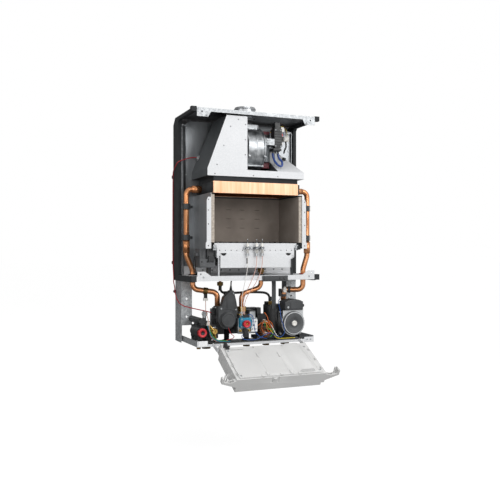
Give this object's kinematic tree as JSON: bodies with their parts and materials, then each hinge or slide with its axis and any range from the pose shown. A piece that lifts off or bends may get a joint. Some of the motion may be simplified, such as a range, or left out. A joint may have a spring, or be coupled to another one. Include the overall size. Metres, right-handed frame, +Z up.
{
  "type": "combi boiler",
  "caption": "Wall-hung combination boiler with its front casing off: burner, copper heat exchanger, fume hood with fan, pump, gas valve and a control panel that swings down.",
  "frame": {"origin": "on the wall, midway between the two hanging slots", "axes": "+Z up, -Y out from the wall towards the user, +X to the right as seen from the front"},
  "size_m": [0.4125, 0.3735, 0.8139],
  "materials": {
    "galvanised": "galvanised sheet, satin",
    "white_sheet": "bright zinc sheet, satin",
    "seal": "matt charcoal seal",
    "vessel": "red enamel, satin",
    "cast": "as cast",
    "steel_wheel": "satin",
    "motor": "laminated steel with maroon coils",
    "black_plastic": "matt black",
    "hose_blue": "blue silicone",
    "copper": "bright copper",
    "fin": "copper sheet",
    "board": "pressed ceramic fibre, matt",
    "steel": "satin steel",
    "ceramic": "white ceramic with a steel strip",
    "brass": "machined brass",
    "rubber_red": "silicone rubber",
    "red_plastic": "gloss red",
    "coil": "blue moulded coil",
    "stainless": "brazed stainless plates",
    "dark_grey": "matt dark grey",
    "can": "drawn steel can with a dark face",
    "panel_grey": "light grey, fine texture",
    "circuit": "green circuit board",
    "gauge": "white dial",
    "wire": "insulated wires",
    "lead_red": "red insulated lead"
  },
  "bodies": {
    "boiler": {"left_upright": "galvanised", "right_upright": "galvanised", "hanging_rail": "galvanised", "roof_plate": "white_sheet", "flue_collar": "galvanised", "back_panel": "galvanised", "chamber_floor": "white_sheet", "side_seals": "seal", "seal_end_caps": "seal", "expansion_vessel": "vessel", "fume_hood": "white_sheet", "fan_housing": "cast", "fan_motor": "motor", "pressure_switch": "black_plastic", "pressure_tubes": "hose_blue", "heat_exchanger": "copper", "exchanger_fins": "fin", "combustion_casing": "steel", "insulation_boards": "board", "burner_tray": "white_sheet", "burner_blades": "steel", "gas_manifold": "steel", "spark_generator": "black_plastic", "electrodes": "ceramic", "flow_pipe": "copper", "return_pipe": "copper", "gas_pipe": "copper", "brass_nuts": "brass", "expansion_hose": "black_plastic", "pipe_clips": "dark_grey", "pipe_grommets": "rubber_red", "pipe_sensors": "black_plastic", "pump_hanger": "galvanised", "flow_group": "black_plastic", "diverter_motor": "dark_grey", "filling_valve": "brass", "gas_valve": "cast", "gas_coil": "coil", "gas_cap": "red_plastic", "plate_exchanger": "stainless", "pump_volute": "black_plastic", "pump_motor": "can", "pump_terminal_box": "dark_grey", "lower_frame": "galvanised", "pipe_connections": "brass", "wiring_harness": "wire", "thermostat_lead": "lead_red"},
    "control_panel": {"control_tray": "panel_grey", "control_cover": "panel_grey", "circuit_board": "circuit", "pressure_gauge": "gauge"},
    "fan_wheel": {"fan_wheel": "steel_wheel"},
    "pump_rotor": {"pump_rotor": "steel_wheel"},
    "vent_screw": {"pump_vent_screw": "brass"},
    "relief_knob": {"relief_knob": "red_plastic"},
    "drain_knob": {"drain_knob": "black_plastic"},
    "filling_lever": {"filling_lever": "brass"},
    "air_vent_cap": {"air_vent_cap": "black_plastic"},
    "heating_knob": {"heating_knob": "dark_grey"},
    "water_knob": {"water_knob": "dark_grey"}
  },
  "joints": [
    {"name": "panel_hinge", "type": "hinge", "parent": "boiler", "child": "control_panel", "pos_m": [0, -0.23, -0.648], "axis": [1, 0, 0], "range_deg": [-117.8, 0]},
    {"name": "heating_knob_turn", "type": "hinge", "parent": "control_panel", "child": "heating_knob", "pos_m": [-0.06, -0.28621, -0.7172], "axis": [0, -0.4664, 0.8846], "range_deg": [-140, 140]},
    {"name": "water_knob_turn", "type": "hinge", "parent": "control_panel", "child": "water_knob", "pos_m": [0, -0.28621, -0.7172], "axis": [0, -0.4664, 0.8846], "range_deg": [-140, 140]},
    {"name": "fan_spin", "type": "hinge", "parent": "boiler", "child": "fan_wheel", "pos_m": [0.004, -0.123, -0.061], "axis": [1, 0, 0], "continuous": true},
    {"name": "pump_spin", "type": "hinge", "parent": "boiler", "child": "pump_rotor", "pos_m": [0.1237, -0.15, -0.5875], "axis": [0, 1, 0], "continuous": true},
    {"name": "vent_screw_turn", "type": "hinge", "parent": "boiler", "child": "vent_screw", "pos_m": [0.1237, -0.19, -0.5875], "axis": [0, 1, 0], "range_deg": [-180, 180]},
    {"name": "relief_knob_turn", "type": "hinge", "parent": "boiler", "child": "relief_knob", "pos_m": [-0.17, -0.19, -0.603], "axis": [0, 1, 0], "range_deg": [0, 90]},
    {"name": "drain_knob_turn", "type": "hinge", "parent": "boiler", "child": "drain_knob", "pos_m": [-0.16, -0.165, -0.574], "axis": [0, 1, 0], "range_deg": [-180, 180]},
    {"name": "filling_lever_turn", "type": "hinge", "parent": "boiler", "child": "filling_lever", "pos_m": [-0.128, -0.178, -0.602], "axis": [0, 1, 0], "range_deg": [0, 90]},
    {"name": "vent_cap_turn", "type": "hinge", "parent": "boiler", "child": "air_vent_cap", "pos_m": [0.066, -0.112, -0.529], "axis": [0, 0, 1], "range_deg": [-180, 180]}
  ]
}
